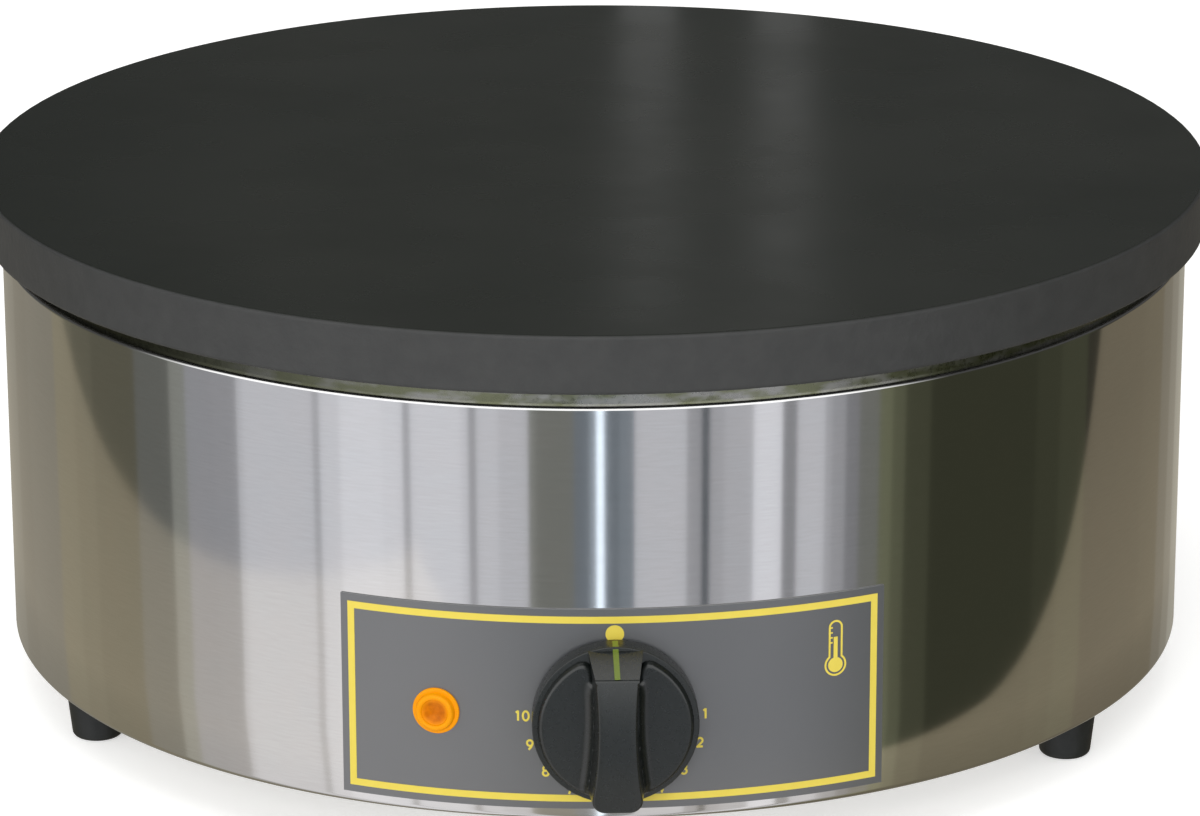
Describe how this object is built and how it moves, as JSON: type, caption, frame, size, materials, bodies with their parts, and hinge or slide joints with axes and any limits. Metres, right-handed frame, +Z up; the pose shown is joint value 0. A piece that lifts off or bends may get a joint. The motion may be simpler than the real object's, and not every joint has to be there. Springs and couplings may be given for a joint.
{
  "type": "electric crepe maker",
  "caption": "Round cast-iron griddle plate on a brushed steel drum with rubber feet, a curved control panel, a turning thermostat knob and an amber pilot lamp.",
  "frame": {"origin": "on the table, on the axis of the drum and the plate", "axes": "+Z up, -Y to the front with the control panel and the knob, +X to the right seen from the front"},
  "size_m": [0.4, 0.438, 0.1718],
  "materials": {
    "cast_iron": "matt seasoned surface",
    "stainless": "brushed around the drum",
    "zinc": "passivated zinc, mottled",
    "plated_steel": "zinc plated",
    "element_metal": "heat-tinted sheath",
    "copper": "drawn copper",
    "brass": "turned",
    "ceramic": "matt",
    "insulation": "felted ceramic fibre",
    "rubber": "moulded, matt",
    "panel_grey": "satin grey",
    "panel_yellow": "printed ink",
    "black_plastic": "fine moulded grain",
    "pointer_paint": "paint line",
    "amber_lens": "translucent amber",
    "neon_glass": "clear glass",
    "wire_brown": "insulated wire",
    "wire_grey": "insulated wire",
    "wire_blue": "insulated wire",
    "wire_green": "insulated wire",
    "wire_white": "insulated wire"
  },
  "bodies": {
    "root": {"griddle_plate": "cast_iron", "plate_studs": "plated_steel", "element_clamp_star": "plated_steel", "spacer_sleeves": "plated_steel", "stud_washers": "plated_steel", "stud_nuts": "plated_steel", "heating_element": "element_metal", "element_insulators": "ceramic", "element_pins": "plated_steel", "element_pin_nuts": "brass", "insulation_pad": "insulation", "heat_tray": "zinc", "tie_bolts": "plated_steel", "tie_washers": "plated_steel", "tie_nuts": "plated_steel", "casing": "stainless", "base_plate": "plated_steel", "base_screws": "plated_steel", "foot_front_left": "rubber", "foot_front_right": "rubber", "foot_rear": "rubber", "foot_screws": "plated_steel", "foot_washers": "plated_steel", "foot_nuts": "plated_steel", "control_panel": "panel_grey", "panel_print": "panel_yellow", "dial_numerals": "panel_yellow", "thermostat_body": "black_plastic", "thermostat_mount_plate": "plated_steel", "thermostat_screws": "plated_steel", "thermostat_tabs": "brass", "sensing_bulb": "copper", "bulb_clip": "plated_steel", "bulb_clip_screws": "plated_steel", "capillary_tube": "copper", "pilot_lens": "amber_lens", "pilot_body": "black_plastic", "pilot_spring_nut": "plated_steel", "pilot_neon": "neon_glass", "pilot_tabs": "brass", "terminal_block": "ceramic", "terminal_inserts": "brass", "terminal_clamp_screws": "plated_steel", "terminal_block_screws": "plated_steel", "gland_body": "black_plastic", "gland_locknut": "black_plastic", "gland_seal": "rubber", "gland_dome_nut": "black_plastic", "earth_stud": "brass", "earth_nuts": "brass", "live_wire": "wire_brown", "element_wire": "wire_grey", "neutral_wire": "wire_blue", "earth_wire": "wire_green", "pilot_wires": "wire_white"},
    "knob": {"thermostat_spindle": "plated_steel", "knob": "black_plastic", "knob_pointer": "pointer_paint", "knob_spring": "plated_steel"}
  },
  "joints": [
    {"name": "knob_turn", "type": "hinge", "parent": "root", "child": "knob", "pos_m": [0, -0.2, 0.0498], "axis": [0, 1, 0], "range_deg": [0, 270]}
  ]
}
